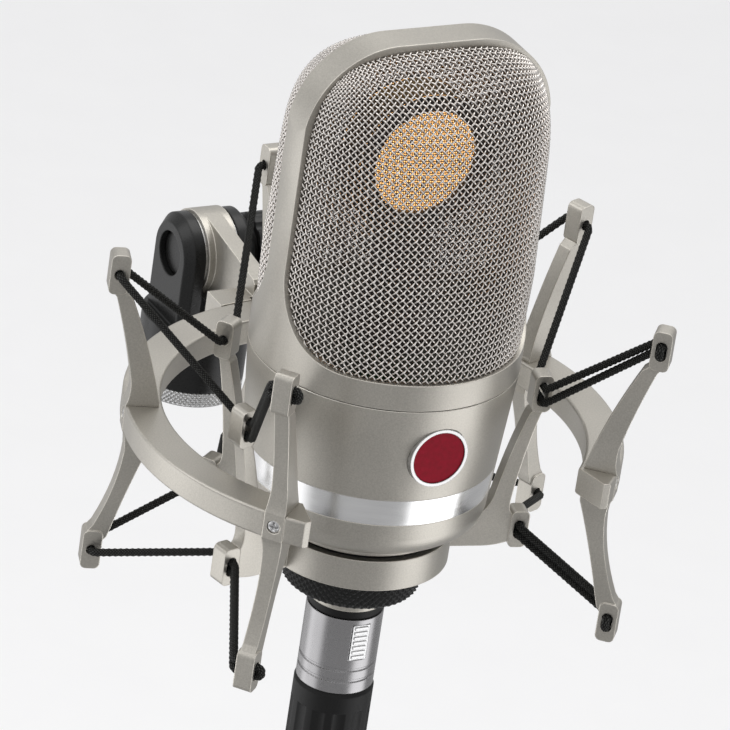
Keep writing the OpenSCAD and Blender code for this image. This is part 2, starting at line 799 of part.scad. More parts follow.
// A cord of round section along a path
module cord(path) {
    sides = 10;
    d = unit(path[1] - path[0]);
    u = unit(cross(d, [0, 0, 1]));
    w = cross(d, u);
    first = [
        for (k = [0 : sides - 1]) let (t = 360 * k / sides) path[0] + cord_r * (u * cos(t) + w * sin(t))
    ];
    last = sides * (len(path) - 1);
    walls = [
        for (i = [0 : len(path) - 2], k = [0 : sides - 1])
            let (a = i * sides + k, b = i * sides + (k + 1) % sides) [a, a + sides, b + sides, b]
    ];
    polyhedron(
        concat(first, sweep(path, first, 1)),
        concat(walls, [[for (k = [0 : sides - 1]) k]], [[for (k = [sides - 1 : -1 : 0]) last + k]])
    );
}

// A whole cord: in at the left front, round the back and out at the right front
module suspension_cord(cage, cradle, wide) {
    left = cord_path(cage, cradle, -1, wide);
    right = cord_path(cage, cradle, 1, wide);
    cord(ease(concat([for (i = [len(left) - 1 : -1 : 0]) left[i]], right), 0.5));
}

module upper_cord() color(black) in_mic_frame() suspension_cord(cage_top, cradle_top, wide_strand);

module lower_cord() color(black) in_mic_frame() suspension_cord(cage_low, cradle_low, strand);

// ---- Swivel ----------------------------------------------------------------------------

module bracket_screw_places() for (s = [-1, 1]) at_angle(180 + 8 * s) children();

module swivel_bracket() {
    flange_h = ring_h;
    plate_t = tongue_t - 3.6;
    color(metal) in_mic_frame() difference() {
        union() {
            intersection() {
                translate([-12, 55, ring_mid - flange_h / 2]) cube([24, flange_face - 55, flange_h]);
                translate([0, 0, ring_mid - flange_h / 2]) difference() {
                    cylinder(r = 80, h = flange_h);
                    translate([0, 0, -1]) cylinder(r = ring_r + gap, h = flange_h + 2);
                }
            }
            through_x(plate_t) polygon([
                [60.6, pivot_z - 7], [60.6, pivot_z + 6], [61.6, pivot_z + 7],
                [stand_offset - 1, pivot_z + tongue_r], [stand_offset, pivot_z],
                [stand_offset - 1, pivot_z - tongue_r], [66, pivot_z - 8.5]
            ]);
            translate([0, stand_offset, pivot_z]) rotate([0, 90, 0])
                cylinder(r = tongue_r, h = tongue_t, center = true);
        }
        translate([-foot_t / 2 - 0.75, 55, pivot_z - 2 * tongue_r]) cube([foot_t + 1.5, 5.6, 4 * tongue_r]);
        translate([0, stand_offset, pivot_z]) rotate([0, 90, 0])
            cylinder(r = bolt_r + gap, h = 40, center = true);
        bracket_screw_places() {
            radial_bar(1.4, ring_r - 1, 80, ring_mid, $fn = 32);
            radial_bar(2.25, 63.5, 80, ring_mid, $fn = 40);
        }
    }
}

module bracket_screws() {
    color(steel) in_mic_frame() bracket_screw_places() {
        radial_bar(2.2, 63.55, 65.6, ring_mid, $fn = 40);
        radial_bar(1.3, ring_r - 5, 63.6, ring_mid, $fn = 32);
    }
}

module on_pivot() translate([0, 0, pivot_height]) rotate([0, 90, 0]) children();

// A cheek of the yoke, on the +X side, with its outer edge chamfered
module cheek() {
    flat = cheek_out - cheek_chamfer;
    small_r = cheek_r - cheek_chamfer;
    on_pivot() {
        translate([0, 0, cheek_in]) cylinder(r = cheek_r, h = flat - cheek_in);
        translate([0, 0, flat]) cylinder(r1 = cheek_r, r2 = small_r, h = cheek_chamfer);
    }
    translate([0, 0, 12]) linear_extrude(pivot_height - 12) polygon([
        [cheek_in, -cheek_r], [flat, -cheek_r], [cheek_out, -small_r],
        [cheek_out, small_r], [flat, cheek_r], [cheek_in, cheek_r]
    ]);
}

module swivel_yoke() {
    color([0.17, 0.18, 0.19]) difference() {
        union() {
            translate([0, 0, adapter_flange + gap])
                cylinder(r = yoke_r, h = yoke_base_top - adapter_flange - gap);
            cheek();
            rotate([0, 0, 180]) cheek();
        }
        on_pivot() cylinder(r = bolt_r + gap, h = 60, center = true);
        on_pivot() translate([0, 0, -cheek_out - 1]) cylinder(r = recess_r, h = recess_depth + 1);
        cylinder(r = large_thread_r, h = 17.5);
    }
}

module pivot_bolt() {
    head = 1.8;
    floor = recess_depth - gap - cheek_out;
    color([0.12, 0.12, 0.12]) on_pivot() {
        translate([0, 0, floor - head]) cylinder(r = recess_r - 0.3, h = head);
        translate([0, 0, floor - 0.5]) cylinder(r = bolt_r, h = cheek_out + 5.5 - floor);
    }
}

module friction_washers() {
    color(steel) on_pivot() for (side = [-1, 1])
        translate([0, 0, side * (tongue_t + washer_gap) / 2]) difference() {
            cylinder(r = cheek_r - 0.3, h = washer_gap - 2 * gap, center = true);
            cylinder(r = bolt_r + gap, h = 3, center = true);
        }
}

module lock_knob() {
    knob_r = 8.2;
    near = cheek_out + gap;
    color(black) on_pivot() difference() {
        union() {
            translate([0, 0, near]) cylinder(r = 6, h = 1.5);
            translate([0, 0, near + 1.5]) cylinder(r = knob_r, h = 6.5);
        }
        translate([0, 0, near - 1]) cylinder(r = bolt_r + run, h = 6.5);
        for (i = [0 : 11]) rotate([0, 0, 30 * i]) translate([knob_r + 0.9, 0, near + 1])
            cylinder(r = 1.6, h = 9, $fn = 24);
    }
}

// Insert that turns the swivel's large thread into the small one, with a knurled flange
module thread_adapter() {
    color(steel) difference() {
        union() {
            cylinder(r = yoke_r, h = adapter_flange);
            cylinder(r = large_thread_r - run, h = 17);
        }
        translate([0, 0, -1]) cylinder(r = small_thread_r, h = 20);
    }
}

// ---- Plug ------------------------------------------------------------------------------

module plug_shell() {
    step = 1.6;
    color([0.7, 0.69, 0.67]) in_mic_frame() difference() {
        union() {
            translate([0, 0, shell_bottom]) cylinder(r = plug_r, h = shell_top - shell_bottom);
            translate([0, 0, shell_top - 1]) cylinder(r = socket_r - 0.1, h = nose_top - shell_top + 1);
        }
        translate([0, 0, shell_bottom - 1]) cylinder(r = socket_r, h = shell_top - shell_bottom - step);
        translate([0, 0, shell_top - 5]) cylinder(r = 6.9, h = 30);
        translate([-2.3, -plug_r - 1, shell_top - 10.95]) cube([4.6, 4, 9.6]);
        for (z = [3, 6]) ring(plug_r + 1, plug_r - 0.25, shell_bottom + z, 0.8);
    }
}

module plug_gasket() {
    h = tip_bottom - shell_top - 2 * gap;
    color(black) in_mic_frame() ring(9, socket_r - 0.1 + gap, shell_top + gap, h);
}

module plug_latch() {
    color(steel) in_mic_frame() {
        translate([-2.2, -9.2, shell_top - 10.85]) cube([4.4, 1, 9.4]);
        for (i = [0 : 6]) translate([-1.7, -9.45, shell_top - 10.4 + 1.3 * i]) cube([3.4, 0.4, 0.7]);
    }
}

module plug_insert() {
    color(black) in_mic_frame() difference() {
        translate([0, 0, shell_top - 7.65]) cylinder(r = 6.85, h = 24.5);
        pin_places() translate([0, 0, shell_top - 8.65]) cylinder(r = 1.65, h = 30, $fn = 32);
    }
}

module plug_contacts() {
    color([0.85, 0.7, 0.35]) in_mic_frame() pin_places() difference() {
        translate([0, 0, shell_top - 11.65]) cylinder(r = 1.6, h = 28, $fn = 32);
        translate([0, 0, shell_top + 0.35]) cylinder(r = pin_r + run, h = 20, $fn = 32);
    }
}

module plug_chuck() color([0.2, 0.2, 0.2]) in_mic_frame() ring(7.8, cable_r + 0.15, shell_bottom - 7.5, 13);

module plug_boot() {
    flutes = 12;
    flute_r = 4;
    boot_r = plug_r + 0.3;
    grip_top = boot_top - 5.5;
    grip_bottom = boot_top - 0.62 * boot_l;
    color([0.09, 0.09, 0.09]) in_mic_frame() difference() {
        union() {
            translate([0, 0, grip_bottom]) cylinder(r = boot_r, h = boot_top - 1 - grip_bottom);
            translate([0, 0, boot_top - 1]) cylinder(r1 = boot_r, r2 = boot_r - 0.8, h = 1);
            translate([0, 0, boot_bottom]) cylinder(r1 = 6.6, r2 = 8.1, h = grip_bottom - boot_bottom);
        }
        translate([0, 0, boot_bottom - 1]) cylinder(r = cable_r, h = boot_l + 2);
        translate([0, 0, shell_bottom - 7.6]) cylinder(r = 7.85, h = 20);
        for (i = [0 : flutes - 1]) at_angle(360 * (i + 0.5) / flutes)
            translate([0, -boot_r - flute_r + 0.45, grip_bottom - 1])
                cylinder(r = flute_r, h = grip_top - grip_bottom + 1, $fn = 64);
    }
}

head_frame();
front_grille();
rear_grille();
front_screen();
rear_screen();
capsule_body();
front_diaphragm();
rear_diaphragm();
front_clamp_ring();
rear_clamp_ring();
capsule_screws();
capsule_saddle();
saddle_rubber();
saddle_screws();
capsule_leads();
deck_plate();
deck_screws();
body_shell();
chrome_band();
badge_rim();
badge_enamel();
button_bezel();
pattern_button();
pattern_switch();
amplifier_board();
board_components();
chassis_rails();
base_plate();
base_screws();
xlr_insert();
xlr_pins();
outer_ring();
cage_arm_front_left();
cage_arm_front_right();
cage_arm_side_left();
cage_arm_side_right();
cage_arm_rear();
cage_arm_screws();
cradle();
cradle_pad();
clamp_washer();
clamp_nut();
upper_cord();
lower_cord();
swivel_bracket();
bracket_screws();
swivel_yoke();
pivot_bolt();
friction_washers();
lock_knob();
thread_adapter();
plug_shell();
plug_gasket();
plug_latch();
plug_insert();
plug_contacts();
plug_chuck();
plug_boot();
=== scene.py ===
"""Looks of a condenser microphone in an elastic suspension: meshes, materials, light and camera.

Lengths in the mesh code are millimetres in the microphone's own frame, whose origin is on its
axis at the seam between head and body. from_mic() turns them into metres in the shared frame.
"""

import json
import math

import bpy
import numpy as np
from mathutils import Matrix, Vector

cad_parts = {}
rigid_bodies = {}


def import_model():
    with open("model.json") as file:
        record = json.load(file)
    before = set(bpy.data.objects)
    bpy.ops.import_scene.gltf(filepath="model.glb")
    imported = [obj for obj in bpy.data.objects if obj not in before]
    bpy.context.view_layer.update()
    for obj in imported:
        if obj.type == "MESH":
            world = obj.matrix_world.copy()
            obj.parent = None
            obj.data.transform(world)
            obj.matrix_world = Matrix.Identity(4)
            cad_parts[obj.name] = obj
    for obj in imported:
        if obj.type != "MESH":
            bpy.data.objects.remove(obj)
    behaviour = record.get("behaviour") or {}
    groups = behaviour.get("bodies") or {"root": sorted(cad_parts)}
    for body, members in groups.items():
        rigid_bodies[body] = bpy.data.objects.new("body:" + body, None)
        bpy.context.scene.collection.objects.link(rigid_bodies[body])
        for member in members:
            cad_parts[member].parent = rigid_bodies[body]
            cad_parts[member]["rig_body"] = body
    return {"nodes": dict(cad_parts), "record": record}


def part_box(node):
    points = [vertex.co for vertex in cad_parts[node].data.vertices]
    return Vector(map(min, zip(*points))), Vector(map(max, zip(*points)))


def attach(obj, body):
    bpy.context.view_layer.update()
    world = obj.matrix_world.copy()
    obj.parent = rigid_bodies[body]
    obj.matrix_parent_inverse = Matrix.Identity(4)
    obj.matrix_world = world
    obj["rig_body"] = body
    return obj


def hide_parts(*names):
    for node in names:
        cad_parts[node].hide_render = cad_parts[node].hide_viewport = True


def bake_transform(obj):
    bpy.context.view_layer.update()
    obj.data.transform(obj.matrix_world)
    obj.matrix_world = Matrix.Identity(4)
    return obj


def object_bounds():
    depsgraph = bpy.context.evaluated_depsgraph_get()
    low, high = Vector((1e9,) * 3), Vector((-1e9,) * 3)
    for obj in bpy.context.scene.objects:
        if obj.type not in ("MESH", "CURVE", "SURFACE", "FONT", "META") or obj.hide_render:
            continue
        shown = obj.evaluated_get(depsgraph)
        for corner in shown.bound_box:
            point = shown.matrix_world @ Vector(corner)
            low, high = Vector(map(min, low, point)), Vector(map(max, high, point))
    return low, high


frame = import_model()
bpy.context.view_layer.update()
cad_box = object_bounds()

MM = 0.001
NODES = frame["nodes"]
SLOTS = {s["node"]: s["material_slot"] for s in frame["record"]["subparts"]}


def middle(node):
    low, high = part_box(node)
    return (low + high) / 2


nut_low, nut_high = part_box("clamp_nut")
MIC = np.array([middle("clamp_nut").x, middle("clamp_nut").y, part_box("head_frame")[0].z])


def from_mic(points):
    return np.asarray(points, float) * MM + MIC


# ---- Materials -------------------------------------------------------------------------


class Nodes:
    """A node tree with its coordinates at hand."""

    def __init__(self, tree):
        self.tree = tree
        self.coords = tree.nodes.new("ShaderNodeTexCoord")

    def node(self, kind, inputs=(), **settings):
        made = self.tree.nodes.new("ShaderNode" + kind)
        for key, value in settings.items():
            setattr(made, key, value)
        for key, value in dict(inputs).items():
            if isinstance(value, bpy.types.NodeSocket):
                self.tree.links.new(value, made.inputs[key])
            else:
                made.inputs[key].default_value = value
        return made

    def math(self, operation, a, b=0.0, clamp=False):
        return self.node("Math", {0: a, 1: b}, operation=operation, use_clamp=clamp).outputs[0]

    def noise(self, size, stretch=(1, 1, 1), detail=3.0, source="Object"):
        """Noise whose features are about size millimetres across."""
        scale = [s / (size * MM) for s in stretch]
        place = self.node("Mapping", {"Vector": self.coords.outputs[source], "Scale": scale})
        made = self.node("TexNoise", {"Vector": place.outputs[0], "Scale": 1.0, "Detail": detail})
        return made.outputs["Fac"]

    def spread(self, value, low, high, out_low, out_high):
        inputs = {0: value, 1: low, 2: high, 3: out_low, 4: out_high}
        return self.node("MapRange", inputs).outputs[0]

    def mix(self, share, a, b, blend="MIX"):
        inputs = {0: share, 6: a, 7: b}
        made = self.node("Mix", inputs, data_type="RGBA", blend_type=blend)
        return made.outputs[2]

    def bump(self, height, depth, normal=None, strength=1.0):
        inputs = {"Height": height, "Distance": depth * MM, "Strength": strength}
        if normal is not None:
            inputs["Normal"] = normal
        return self.node("Bump", inputs).outputs[0]

    def rounded(self, radius):
        """A normal that rounds sharp edges by radius millimetres."""
        return self.node("Bevel", {"Radius": radius * MM}, samples=6).outputs[0]

    def edges(self, radius):
        """1 along sharp edges, 0 elsewhere."""
        flat = self.node("NewGeometry").outputs["Normal"]
        turned = self.node("VectorMath", {0: self.rounded(radius), 1: flat}, operation="DOT_PRODUCT")
        return self.spread(turned.outputs["Value"], 0.995, 0.85, 0.0, 1.0)


class Look(Nodes):
    """The nodes of a material."""

    def __init__(self, name):
        self.material = bpy.data.materials.new(name)
        self.material.use_nodes = True
        super().__init__(self.material.node_tree)
        self.shader = self.tree.nodes["Principled BSDF"]

    def set(self, **values):
        for key, value in values.items():
            socket = self.shader.inputs[key.replace("_", " ")]
            if isinstance(value, bpy.types.NodeSocket):
                self.tree.links.new(value, socket)
            else:
                socket.default_value = value


def rgb(r, g, b):
    return (r, g, b, 1.0)


def surface(name, light, dark, metallic, rough, grain, depth,
            stretch=(1, 1, 1), rim=0.3, worn=0.0, **more):
    """A finish whose grain varies its colour, roughness and bump, with rounded edges that can be painted
    lighter as a painted highlight.
    """
    look = Look(name)
    fine = look.noise(grain, stretch)
    broad = look.noise(18.0, detail=1.0)
    colour = look.mix(look.spread(fine, 0.3, 0.7, 0.0, 1.0), dark, light)
    shade = look.spread(broad, 0.3, 0.7, 0.93, 1.05)
    tint = look.node("CombineColor", {0: shade, 1: shade, 2: shade}).outputs[0]
    colour = look.mix(1.0, colour, tint, "MULTIPLY")
    # Painted highlight: sharp edges are painted lighter, towards 1.7 times the light colour, standing in
    # for the light that rounded edges catch.
    if worn:
        bright = tuple(min(1.0, c * 1.7) for c in light[:3]) + (1.0,)
        colour = look.mix(look.math("MULTIPLY", look.edges(rim), worn), colour, bright)
    low, high = rough
    normal = look.bump(fine, depth, look.rounded(rim) if rim else None)
    look.set(Base_Color=colour, Metallic=metallic, Normal=normal, **more)
    look.set(Roughness=look.spread(fine, 0.3, 0.7, low, high))
    return look


def enamel_look():
    return surface("red_enamel", rgb(0.3, 0.004, 0.02), rgb(0.22, 0.002, 0.012), 0.0, (0.3, 0.4),
                   1.2, 0.004, rim=0.2, Specular_IOR_Level=0.1)


def gold_film_look():
    look = surface("gold_film", rgb(1.0, 0.66, 0.27), rgb(0.86, 0.52, 0.18), 0.9, (0.28, 0.42),
                   2.5, 0.02, rim=0)
    cells = look.node("TexVoronoi", {"Vector": look.coords.outputs["Object"], "Scale": 620.0})
    dimple = look.spread(cells.outputs["Distance"], 0.0, 0.35, 0.0, 1.0)
    # Painted light: the gold film is given an orange glow, though it is no lamp, so that it shows bright
    # behind the gauze.
    look.set(Normal=look.bump(dimple, 0.015), Emission_Color=rgb(1.0, 0.5, 0.16), Emission_Strength=2.0)
    return look


def chrome_look():
    return surface("chrome", rgb(0.85, 0.85, 0.85), rgb(0.79, 0.79, 0.79), 1.0, (0.18, 0.24),
                   2.0, 0.0008, stretch=(0.15, 0.15, 1), rim=0.06)


def board_look():
    look = surface("circuit_board", rgb(0.006, 0.04, 0.016), rgb(0.004, 0.025, 0.01), 0.0, (0.25, 0.4),
                   0.4, 0.004, Coat_Weight=0.4)
    place = look.node("Mapping", {"Vector": look.coords.outputs["Object"], "Scale": (320, 320, 320)})
    tracks = look.node("TexBrick", {"Vector": place.outputs[0], "Color1": rgb(0.006, 0.04, 0.016),
                                    "Color2": rgb(0.01, 0.055, 0.02), "Mortar": rgb(0.03, 0.09, 0.04),
                                    "Scale": 1.0, "Mortar Size": 0.04})
    look.set(Base_Color=tracks.outputs["Color"])
    return look


def cord_look():
    """Braided cord: two sets of strands cross in the surface's own (length, turn) coordinates."""
    look = surface("cord", rgb(0.012, 0.012, 0.012), rgb(0.003, 0.003, 0.003), 0.0, (0.55, 0.75),
                   0.25, 0.01, rim=0, Specular_IOR_Level=0.2)
    parts = look.node("SeparateXYZ", {0: look.coords.outputs["UV"]})
    along, turn = parts.outputs[0], parts.outputs[1]
    ridges = []
    for sign in (1.0, -1.0):
        slant = look.math("ADD", along, look.math("MULTIPLY", turn, sign))
        wave = look.math("SINE", look.math("MULTIPLY", slant, 2 * math.pi))
        ridges.append(look.math("ABSOLUTE", wave))
    height = look.math("MULTIPLY", ridges[0], ridges[1])
    # Painted light and shade: the tops of the strands are painted paler as a highlight, and the grooves
    # between them black as painted shade.
    pale, deep = rgb(0.055, 0.056, 0.052), rgb(0.0, 0.0, 0.0)
    share = look.spread(height, 0.25, 0.8, 0.0, 1.0)
    look.set(Base_Color=look.mix(share, deep, pale), Normal=look.bump(height, 0.2))
    return look


def gauze_look():
    """Fine wire gauze: see-through between the wires, which lie one pitch apart in its own coordinates."""
    wire_share = 0.42
    look = surface("inner_mesh", rgb(0.075, 0.06, 0.052), rgb(0.045, 0.036, 0.031), 0.5, (0.4, 0.5),
                   0.4, 0.004, rim=0)
    parts = look.node("SeparateXYZ", {0: look.coords.outputs["UV"]})
    wires = [look.math("LESS_THAN", look.math("FRACT", parts.outputs[axis]), wire_share) for axis in (0, 1)]
    look.set(Alpha=look.math("MAXIMUM", wires[0], wires[1]))
    return look


# Each finish: light and dark colour, metallic, range of roughness, grain size and bump depth in millimetres
FINISHES = {
    "satin_nickel": (rgb(0.5, 0.478, 0.43), rgb(0.4, 0.38, 0.342), 0.85, (0.34, 0.46), 0.35, 0.018),
    "mesh_wire": (rgb(0.84, 0.8, 0.76), rgb(0.56, 0.53, 0.5), 1.0, (0.16, 0.26), 0.5, 0.004),
    "brass": (rgb(0.2, 0.135, 0.055), rgb(0.13, 0.085, 0.035), 1.0, (0.35, 0.5), 0.4, 0.004),
    "black_plastic": (rgb(0.014, 0.014, 0.014), rgb(0.008, 0.008, 0.008), 0.0, (0.36, 0.5), 0.5, 0.012),
    "rubber": (rgb(0.009, 0.009, 0.009), rgb(0.004, 0.004, 0.004), 0.0, (0.45, 0.62), 0.3, 0.012),
    "steel": (rgb(0.66, 0.66, 0.66), rgb(0.5, 0.5, 0.5), 1.0, (0.22, 0.36), 0.6, 0.003),
    "component_body": (rgb(0.45, 0.27, 0.05), rgb(0.3, 0.17, 0.03), 0.0, (0.2, 0.35), 1.0, 0.01),
    "lead_sleeve": (rgb(0.5, 0.05, 0.04), rgb(0.36, 0.03, 0.03), 0.0, (0.35, 0.5), 0.4, 0.005),
    "aluminium": (rgb(0.62, 0.62, 0.64), rgb(0.5, 0.5, 0.52), 1.0, (0.3, 0.45), 0.4, 0.004),
    "gold_contact": (rgb(0.95, 0.68, 0.28), rgb(0.8, 0.55, 0.2), 1.0, (0.2, 0.3), 0.5, 0.002),
    "black_metal": (rgb(0.012, 0.0125, 0.012), rgb(0.007, 0.007, 0.007), 0.0, (0.26, 0.36), 0.35, 0.01),
    "plug_nickel": (rgb(0.36, 0.355, 0.36), rgb(0.31, 0.305, 0.31), 1.0, (0.22, 0.32), 0.35, 0.005),
}
# Where given, the edge highlight value sets how strongly sharp edges are painted lighter, a painted
# highlight.
EXTRAS = {
    "satin_nickel": {"rim": 0.4, "worn": 1.0},
    "mesh_wire": {"rim": 0},
    "black_plastic": {"rim": 0.4, "Specular_IOR_Level": 0.35},
    "rubber": {"rim": 0.5, "Specular_IOR_Level": 0.25},
    "steel": {"rim": 0.2, "stretch": (1, 1, 0.2)},
    "component_body": {"Coat_Weight": 0.5},
    "aluminium": {"stretch": (1, 1, 0.1)},
    "black_metal": {"rim": 0.7, "worn": 0.15, "Specular_IOR_Level": 0.3},
    "plug_nickel": {"rim": 0.3, "worn": 0.3},
}
LOOKS = {name: surface(name, *finish, **EXTRAS.get(name, {})) for name, finish in FINISHES.items()}
LOOKS.update({
    "inner_mesh": gauze_look(), "gold_film": gold_film_look(), "chrome": chrome_look(),
    "red_enamel": enamel_look(), "circuit_board": board_look(), "cord": cord_look(),
})

for name, piece in NODES.items():
    piece.data.materials.clear()
    piece.data.materials.append(LOOKS[SLOTS[name]].material)


# ---- Building meshes -------------------------------------------------------------------


def build(name, points, faces, node, uvs=None, smooth=True, span=None):
    """A new piece in place of a CAD node, in the node's material slot, points in metres, on the node's body
    unless span is given.
    span is the two ends, on the cage and on the cradle, of a piece that reaches from one to the other; such
    a piece is put on no body."""
    mesh = bpy.data.meshes.new(name)
    mesh.from_pydata([tuple(p) for p in points], [], [tuple(int(i) for i in f) for f in faces])
    mesh.validate()
    if uvs is not None:
        layer = mesh.uv_layers.new(name="UVMap")
        corners = np.zeros(len(mesh.loops), int)
        mesh.loops.foreach_get("vertex_index", corners)
        layer.data.foreach_set("uv", np.asarray(uvs, np.float32)[corners].ravel())
    if smooth:
        mesh.shade_smooth()
    mesh.materials.append(LOOKS[SLOTS[node]].material)
    piece = bpy.data.objects.new(name, mesh)
    bpy.context.scene.collection.objects.link(piece)
    if span is None:
        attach(piece, NODES[node]["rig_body"])
    else:
        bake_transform(piece)
    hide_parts(node)
    return piece


def grid_faces(rows, cols, closed_rows=False, closed_cols=False, start=0):
    """Quads of a grid of points stored row by row."""
    i = np.arange(rows if closed_rows else rows - 1)
    j = np.arange(cols if closed_cols else cols - 1)
    i, j = (a.ravel() for a in np.meshgrid(i, j, indexing="ij"))
    i2, j2 = (i + 1) % rows, (j + 1) % cols
    return start + np.stack([i * cols + j, i * cols + j2, i2 * cols + j2, i2 * cols + j], 1)


def unit(v):
    return v / np.maximum(np.linalg.norm(v, axis=-1, keepdims=True), 1e-12)


def tube(path, normals, radius, sides, start=0):
    """Points and faces of a closed round tube along a path."""
    tangent = unit(np.gradient(path, axis=0))
    across = unit(np.cross(tangent, normals))
    outward = np.cross(across, tangent)
    turn = np.linspace(0, 2 * math.pi, sides, endpoint=False)
    rings = path[:, None] + radius * (
        across[:, None] * np.cos(turn)[None, :, None] + outward[:, None] * np.sin(turn)[None, :, None]
    )
    faces = [list(f) for f in grid_faces(len(path), sides, closed_cols=True, start=start)]
    last = start + sides * (len(path) - 1)
    faces.append([start + k for k in reversed(range(sides))])
    faces.append([last + k for k in range(sides)])
    return rings.reshape(-1, 3), faces


# ---- Woven grilles ---------------------------------------------------------------------

GRILLE_HALF_WIDTH = 31.0
GRILLE_DEPTH = 31.4
GRILLE_LEAN = 0.115
COLLAR = 6.5
LOBE_BASE, LOBE_HEIGHT, LOBE_POWER = 46.0, 33.0, 3.5
BAND_HALF = 4.2
FILLET_R, FILLET_Y, FILLET_Z = 19.0, 23.2, 25.5
WIRE_PITCH, WIRE_R = 1.27, 0.225
CLOTH_STEPS, CLOTH_STIFFNESS = 200, 0.4


def half_depth(z):
    return GRILLE_DEPTH - GRILLE_LEAN * (z - COLLAR)


def grille_power(z):
    return 2 + 0.3 * np.clip((z - COLLAR) / 18, 0, 1)


def onto_grille(p, steps):
    """Moves points (across, depth, height) on to the grille's surface. Returns them and their normals."""
    for _ in range(steps):
        x, d, z = p[..., 0], p[..., 1], p[..., 2]
        n, b = grille_power(z), half_depth(z)
        side = np.abs(x) / GRILLE_HALF_WIDTH
        top = np.clip((z - LOBE_BASE) / LOBE_HEIGHT, 0, None)
        rho = np.maximum((side**LOBE_POWER + top**LOBE_POWER) ** (1 / LOBE_POWER), 1e-6)
        deep = np.abs(d) / b
        value = deep**n + rho**n - 1
        pull = n * rho ** (n - LOBE_POWER)
        slope = np.stack([
            pull * side ** (LOBE_POWER - 1) / GRILLE_HALF_WIDTH * np.sign(x),
            n * deep ** (n - 1) / b * np.sign(d),
            pull * top ** (LOBE_POWER - 1) / LOBE_HEIGHT + n * deep**n * GRILLE_LEAN / b,
        ], -1)
        size = np.maximum((slope**2).sum(-1), 1e-8)
        p = p - np.clip(value / size, -4 / np.sqrt(size), 4 / np.sqrt(size))[..., None] * slope
    return p, unit(slope)


def superellipse(power, width, depth, turns):
    """Points (sideways, outward) round a superellipse from its front middle."""
    s, c = np.sin(turns), np.cos(turns)
    return np.sign(s) * width * np.abs(s) ** (2 / power), np.sign(c) * depth * np.abs(c) ** (2 / power)


def cloth_net():
    """The crossings of a square-woven cloth pressed over the grille, in equal steps along both wires."""
    first, last = -36, 80
    i, j = np.meshgrid(np.arange(first, last), np.arange(first, last), indexing="ij")
    across = (i - j) * WIRE_PITCH / math.sqrt(2)
    up = (i + j) * WIRE_PITCH / math.sqrt(2)
    turns = np.linspace(-0.9 * math.pi, 0.9 * math.pi, 4001)
    x, d = superellipse(2.28, GRILLE_HALF_WIDTH, half_depth(30.0), turns)
    arc = np.concatenate([[0], np.cumsum(np.hypot(np.diff(x), np.diff(d)))])
    arc -= np.interp(0, turns, arc)
    turns = np.linspace(0, 0.9 * math.pi, 2001)
    z, depth = superellipse(2.3, LOBE_HEIGHT, 1.0, turns)
    z = np.concatenate([np.linspace(-14, LOBE_BASE - 0.1, 400), LOBE_BASE + z])
    depth = np.concatenate([np.ones(400), depth]) * half_depth(z)
    rise = np.concatenate([[0], np.cumsum(np.hypot(np.diff(z), np.diff(depth)))])
    rise -= np.interp(COLLAR, z[:400], rise[:400])
    height = np.interp(up, rise, z)
    share = np.interp(up, rise, depth) / half_depth(30.0)
    p = np.stack([np.interp(across, arc, x), np.interp(across, arc, d) * share, height], -1)
    p, _ = onto_grille(p, 12)
    for _ in range(CLOTH_STEPS):
        shift, count = np.zeros_like(p), np.zeros(p.shape[:2] + (1,))
        for axis in (0, 1):
            step = np.diff(p, axis=axis)
            length = np.linalg.norm(step, axis=-1, keepdims=True)
            # the wires stretch a little, and stay nearly straight
            move = (0.5 - 0.5 * CLOTH_STIFFNESS * WIRE_PITCH / np.maximum(length, 1e-6)) * step
            low, high = [slice(None)] * 2, [slice(None)] * 2
            low[axis], high[axis] = slice(None, -1), slice(1, None)
            shift[tuple(low)] += move
            shift[tuple(high)] -= move
            count[tuple(low)] += 1
            count[tuple(high)] += 1
        shift[count[..., 0] < 4] = 0
        p, _ = onto_grille(p + shift / count * 1.6, 1)
    p, normal = onto_grille(p, 4)
    return p, normal, (i + j) % 2


def inside_rim(p):
    """Whether points of the grille are clear of the band, the collar and the fillet between them."""
    d, z = p[:, 1], p[:, 2]
    reach = np.clip(FILLET_R**2 - (FILLET_Y - d) ** 2, 0, None)
    low = np.where(d > FILLET_Y, COLLAR, FILLET_Z - np.sqrt(reach))
    return (d > BAND_HALF) & (z > low)


def runs(keep):
    """Start and end of each unbroken run of True."""
    edges = np.flatnonzero(np.diff(np.concatenate([[0], keep.astype(int), [0]])))
    return list(zip(edges[::2], edges[1::2]))


def weave(net, normal, parity, turned):
    """One set of wires as (path, normals) pairs, each wire going over and under the other set."""
    if turned:
        net, normal, parity = net.swapaxes(0, 1), normal.swapaxes(0, 1), 1 - parity.T
    share = np.arange(3) / 3
    wires = []
    for row, out, side in zip(net, normal, parity):
        a, b = row[:-1, None], row[1:, None]
        line = (a + (b - a) * share[None, :, None]).reshape(-1, 3)
        n = unit((out[:-1, None] + (out[1:, None] - out[:-1, None]) * share[None, :, None]).reshape(-1, 3))
        sign = np.where(side[:-1] == 0, 1.0, -1.0)[:, None]
        lift = (sign * np.cos(math.pi * share)[None]).ravel() * WIRE_R
        stretched = np.linalg.norm(np.diff(line, axis=0), axis=1)
        sane = np.concatenate([(stretched > 0.15) & (stretched < 1.2), [False]])
        for start, end in runs(inside_rim(line) & sane):
            if end - start > 2:
                path = line[start:end] + n[start:end] * (lift[start:end] - 2 * WIRE_R)[:, None]
                wires.append((path, n[start:end]))
    return wires


def woven_grille(node, flip, net, normal, parity):
    for turned, label in ((False, "warp"), (True, "weft")):
        points, faces, count = [], [], 0
        for path, out in weave(net, normal, parity, turned):
            p, f = tube(path, out, WIRE_R, 5, count)
            points.append(p)
            faces += f
            count += len(p)
        p = np.concatenate(points)
        placed = np.stack([flip * p[:, 0], -flip * p[:, 1], p[:, 2]], 1)
        build(f"{node}_{label}", from_mic(placed), faces, node)


